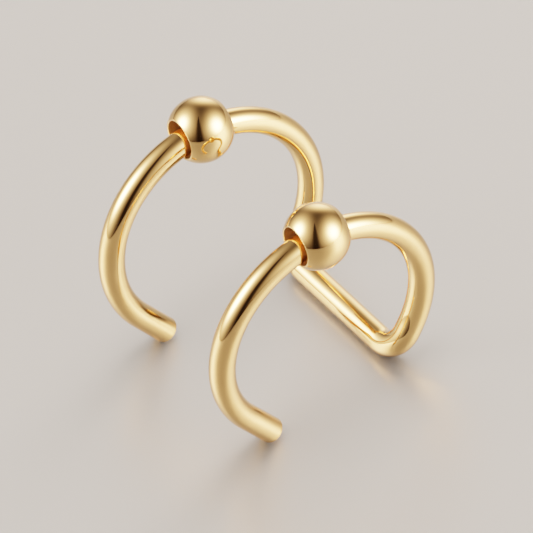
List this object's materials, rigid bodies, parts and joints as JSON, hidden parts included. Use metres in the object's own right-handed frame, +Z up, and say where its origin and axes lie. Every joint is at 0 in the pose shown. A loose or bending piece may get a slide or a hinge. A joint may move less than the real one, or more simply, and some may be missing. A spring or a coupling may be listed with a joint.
{
  "type": "clip-on lip ring",
  "caption": "Clip-on lip ring: open wire hoops side by side, joined by a bar at one end, with a drilled ball bead on the top of each hoop.",
  "frame": {"origin": "on the surface it stands on, under the middle of its box", "axes": "+Z up, +X across the hoops towards the bar, +Y along the bar from the front hoop to the back one"},
  "size_m": [0.0118, 0.0122, 0.0115],
  "materials": {
    "wire_gold": "polished gold-coloured metal, round drawn wire",
    "bead_gold": "polished gold-coloured metal, unpolished in the bore"
  },
  "bodies": {
    "root": {"hoop_wire": "wire_gold", "bead_front": "bead_gold", "bead_back": "bead_gold"}
  },
  "joints": []
}
